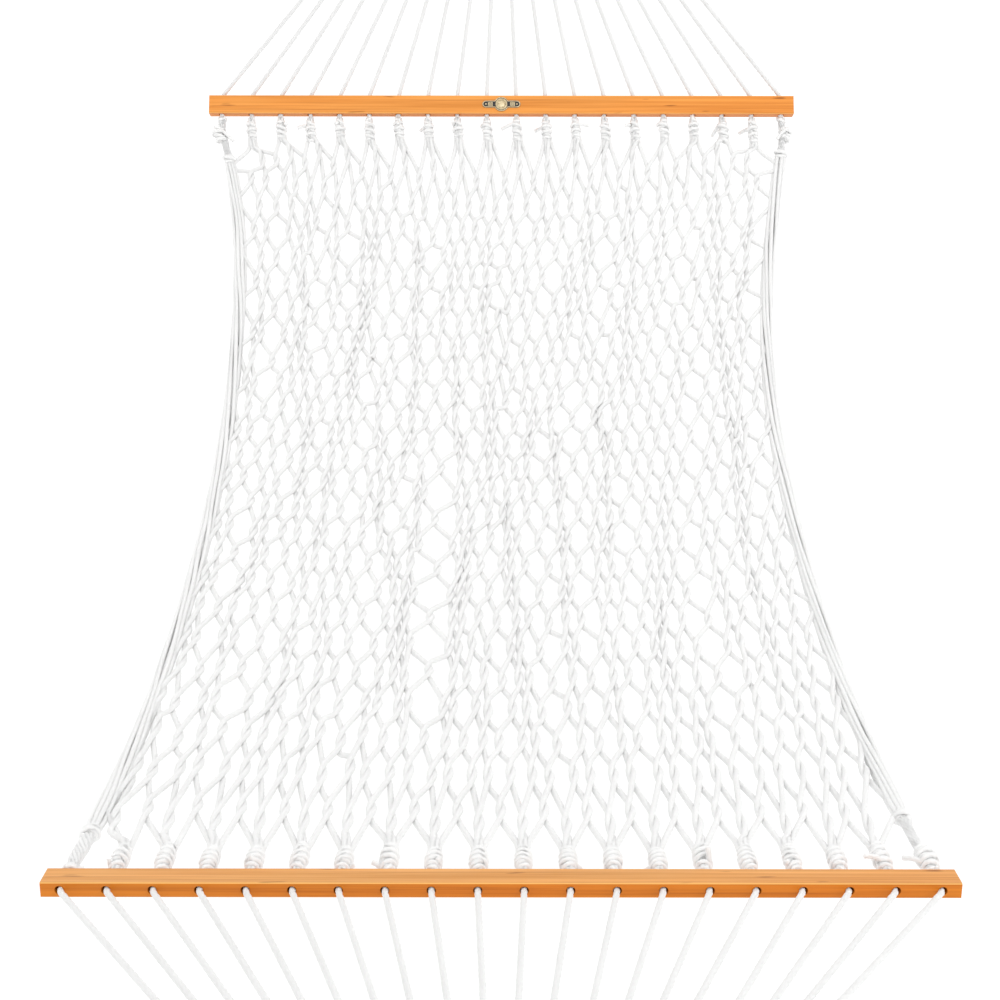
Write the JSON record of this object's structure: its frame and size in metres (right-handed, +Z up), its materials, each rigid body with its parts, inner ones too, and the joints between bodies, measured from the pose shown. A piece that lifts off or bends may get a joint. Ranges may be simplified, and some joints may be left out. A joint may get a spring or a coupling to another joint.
{
  "type": "rope hammock",
  "caption": "Hanging rope hammock: knotted net bed between two wooden spreader bars, with fans of ropes to a steel ring and screw hook at each end.",
  "frame": {"origin": "where the front hook's shank enters its post or tree, on the shank's axis", "axes": "+Y from the front hook to the rear hook, +Z up, X across the bed"},
  "size_m": [1.397, 3.8451, 0.9088],
  "materials": {
    "rope": "soft-spun white polyester rope, three strands twisted",
    "clew_rope": "soft-spun white polyester rope, three strands twisted",
    "bar_wood": "honey-orange varnished wood, satin",
    "steel": "zinc-plated steel",
    "plate_enamel": "black enamel with worn brass relief",
    "plate_pin": "aged brass"
  },
  "bodies": {
    "hooks": {"hook_front": "steel", "hook_rear": "steel"},
    "bed": {"spreader_bar_front": "bar_wood", "spreader_bar_rear": "bar_wood", "clew_rope_front_01": "clew_rope", "clew_rope_front_02": "clew_rope", "clew_rope_front_03": "clew_rope", "clew_rope_front_04": "clew_rope", "clew_rope_front_05": "clew_rope", "clew_rope_front_06": "clew_rope", "clew_rope_front_07": "clew_rope", "clew_rope_front_08": "clew_rope", "clew_rope_front_09": "clew_rope", "clew_rope_front_10": "clew_rope", "clew_rope_front_11": "clew_rope", "clew_rope_front_12": "clew_rope", "clew_rope_front_13": "clew_rope", "clew_rope_front_14": "clew_rope", "clew_rope_front_15": "clew_rope", "clew_rope_front_16": "clew_rope", "clew_rope_front_17": "clew_rope", "clew_rope_front_18": "clew_rope", "clew_rope_front_19": "clew_rope", "clew_rope_front_20": "clew_rope", "clew_rope_rear_01": "clew_rope", "clew_rope_rear_02": "clew_rope", "clew_rope_rear_03": "clew_rope", "clew_rope_rear_04": "clew_rope", "clew_rope_rear_05": "clew_rope", "clew_rope_rear_06": "clew_rope", "clew_rope_rear_07": "clew_rope", "clew_rope_rear_08": "clew_rope", "clew_rope_rear_09": "clew_rope", "clew_rope_rear_10": "clew_rope", "clew_rope_rear_11": "clew_rope", "clew_rope_rear_12": "clew_rope", "clew_rope_rear_13": "clew_rope", "clew_rope_rear_14": "clew_rope", "clew_rope_rear_15": "clew_rope", "clew_rope_rear_16": "clew_rope", "clew_rope_rear_17": "clew_rope", "clew_rope_rear_18": "clew_rope", "clew_rope_rear_19": "clew_rope", "clew_rope_rear_20": "clew_rope", "clew_whipping_front": "clew_rope", "clew_whipping_rear": "clew_rope", "clew_eyes_front": "clew_rope", "clew_eyes_rear": "clew_rope", "net": "rope", "side_rope_left": "rope", "side_rope_right": "rope", "end_knots_front": "rope", "end_knots_rear": "rope", "nameplate": "plate_enamel", "nameplate_pins": "plate_pin"},
    "ring_front": {"ring_front": "steel"},
    "ring_rear": {"ring_rear": "steel"}
  },
  "joints": [
    {"name": "swing", "type": "hinge", "parent": "hooks", "child": "bed", "pos_m": [0, 1.85057, 0.0097], "axis": [0, 1, 0], "range_deg": [-35, 35]},
    {"name": "ring_front_turn", "type": "hinge", "parent": "bed", "child": "ring_front", "pos_m": [0, 0.06537, -0.00523], "axis": [0, 0.5592, 0.829], "continuous": true},
    {"name": "ring_rear_turn", "type": "hinge", "parent": "bed", "child": "ring_rear", "pos_m": [0, 3.63576, -0.00523], "axis": [0, -0.5592, 0.829], "continuous": true}
  ]
}
